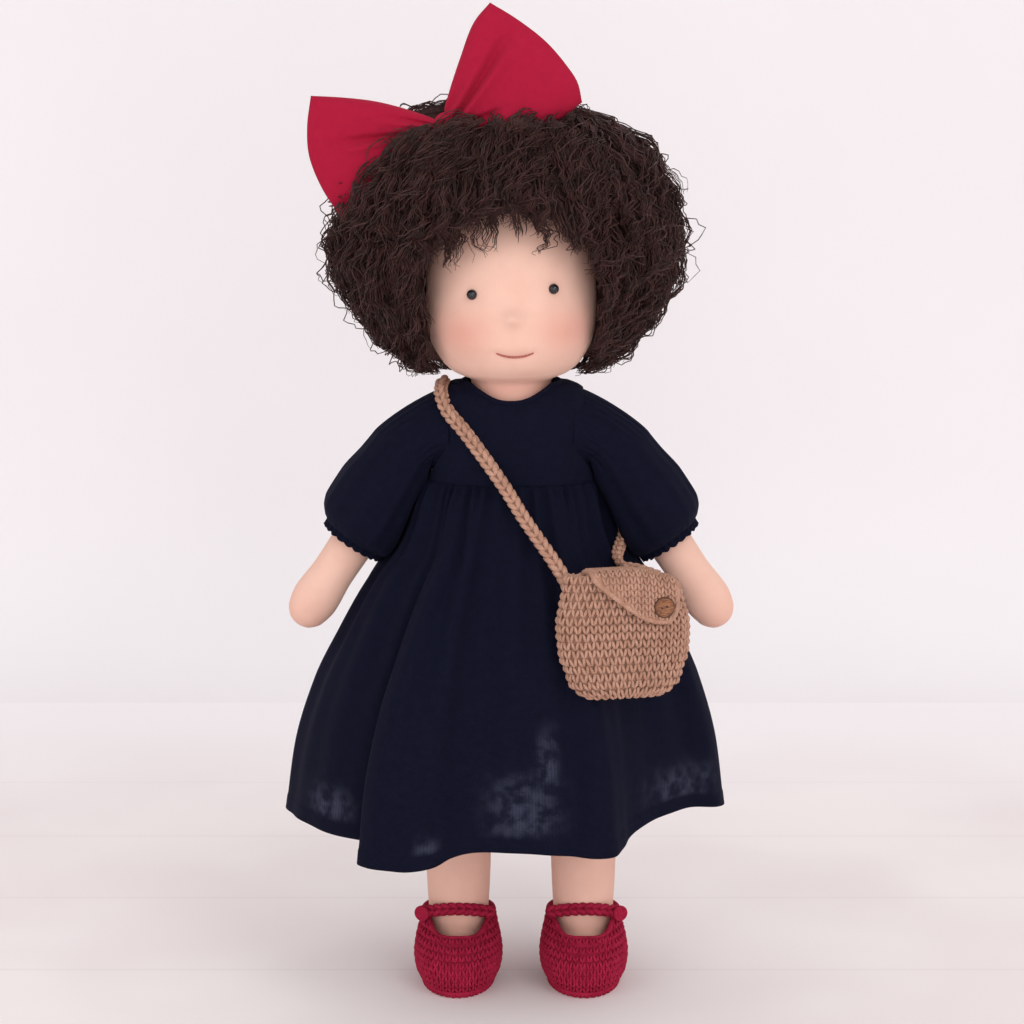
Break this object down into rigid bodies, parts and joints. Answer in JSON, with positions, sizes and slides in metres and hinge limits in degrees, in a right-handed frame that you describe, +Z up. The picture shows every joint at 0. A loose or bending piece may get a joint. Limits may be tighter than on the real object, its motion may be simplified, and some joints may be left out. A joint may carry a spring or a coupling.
{
  "type": "cloth doll",
  "caption": "Stuffed cloth doll with curly hair, a hair bow, a gathered dress, strap shoes and a small shoulder bag.",
  "frame": {"origin": "on the surface that the doll stands on, under the middle of its whole outline", "axes": "+Z up the doll, -Y the way the doll faces, +X to the doll's left"},
  "size_m": [0.2028, 0.1435, 0.4468],
  "materials": {
    "skin_jersey": "fine cotton jersey, matt",
    "stuffing_wool": "carded wool",
    "dress_linen": "navy linen, matt",
    "navy_button": "glossy",
    "elastic": "braided elastic cord",
    "red_crochet": "crocheted cotton yarn",
    "red_button": "button covered with crochet",
    "eye_bead": "glossy bead",
    "mouth_thread": "embroidery thread",
    "wig_cap": "crocheted cap",
    "hair_mohair": "curly mohair, soft sheen",
    "bow_cotton": "woven cotton, matt",
    "clip_steel": "brushed",
    "tan_crochet": "crocheted cotton yarn",
    "wooden_button": "waxed"
  },
  "bodies": {
    "root": {"torso_skin": "skin_jersey", "torso_wool": "stuffing_wool", "dress_bodice": "dress_linen", "dress_neck_binding": "dress_linen", "dress_back_button_top": "navy_button", "dress_back_button_bottom": "navy_button", "dress_skirt": "dress_linen", "bag_strap": "tan_crochet"},
    "head": {"head_skin": "skin_jersey", "head_wool": "stuffing_wool", "right_eye": "eye_bead", "left_eye": "eye_bead", "mouth_stitch": "mouth_thread", "wig_cap": "wig_cap", "hair_crown": "hair_mohair", "hair_fringe": "hair_mohair", "hair_back": "hair_mohair", "hair_right": "hair_mohair", "hair_left": "hair_mohair", "bow_knot": "bow_cotton", "bow_right_loop": "bow_cotton", "bow_left_loop": "bow_cotton", "bow_clip": "clip_steel"},
    "right_arm": {"right_arm_skin": "skin_jersey", "right_arm_wool": "stuffing_wool", "right_sleeve": "dress_linen", "right_sleeve_elastic": "elastic"},
    "left_arm": {"left_arm_skin": "skin_jersey", "left_arm_wool": "stuffing_wool", "left_sleeve": "dress_linen", "left_sleeve_elastic": "elastic"},
    "right_leg": {"right_leg_skin": "skin_jersey", "right_leg_wool": "stuffing_wool", "right_shoe_sole": "red_crochet", "right_shoe_upper": "red_crochet"},
    "left_leg": {"left_leg_skin": "skin_jersey", "left_leg_wool": "stuffing_wool", "left_shoe_sole": "red_crochet", "left_shoe_upper": "red_crochet"},
    "right_shoe_strap": {"right_shoe_strap": "red_crochet", "right_shoe_button": "red_button"},
    "left_shoe_strap": {"left_shoe_strap": "red_crochet", "left_shoe_button": "red_button"},
    "bag": {"bag_body": "tan_crochet"},
    "bag_flap": {"bag_flap": "tan_crochet", "bag_button": "wooden_button"}
  },
  "joints": [
    {"name": "head_turn", "type": "hinge", "parent": "root", "child": "head", "pos_m": [0.001, 0, 0.2661], "axis": [0, 0, 1], "range_deg": [-35, 35]},
    {"name": "right_shoulder", "type": "hinge", "parent": "root", "child": "right_arm", "pos_m": [-0.037, 0, 0.2551], "axis": [-1, 0, 0], "range_deg": [-40, 90]},
    {"name": "left_shoulder", "type": "hinge", "parent": "root", "child": "left_arm", "pos_m": [0.039, 0, 0.2551], "axis": [-1, 0, 0], "range_deg": [-40, 90]},
    {"name": "right_hip", "type": "hinge", "parent": "root", "child": "right_leg", "pos_m": [-0.0235, 0, 0.127], "axis": [-1, 0, 0], "range_deg": [-20, 90], "deforming": ["dress_skirt"]},
    {"name": "left_hip", "type": "hinge", "parent": "root", "child": "left_leg", "pos_m": [0.0345, 0, 0.127], "axis": [-1, 0, 0], "range_deg": [-20, 90]},
    {"name": "right_shoe_strap_hinge", "type": "hinge", "parent": "right_leg", "child": "right_shoe_strap", "pos_m": [-0.0073, -0.0102, 0.0316], "axis": [0, 0.9511, 0.309], "range_deg": [0, 95]},
    {"name": "left_shoe_strap_hinge", "type": "hinge", "parent": "left_leg", "child": "left_shoe_strap", "pos_m": [0.0183, -0.0102, 0.0316], "axis": [0, -0.9511, -0.309], "range_deg": [0, 95]},
    {"name": "bag_swing", "type": "hinge", "parent": "root", "child": "bag", "pos_m": [0.04905, -0.05718, 0.20149], "axis": [-0.9703, -0.2419, 0], "range_deg": [0, 20]},
    {"name": "bag_flap_hinge", "type": "hinge", "parent": "bag", "child": "bag_flap", "pos_m": [0.04696, -0.04882, 0.20209], "axis": [-0.9703, -0.2419, 0], "range_deg": [0, 95]}
  ],
  "couplings": [
    {"joint": "left_hip", "follows": "right_hip", "ratio": 1}
  ]
}
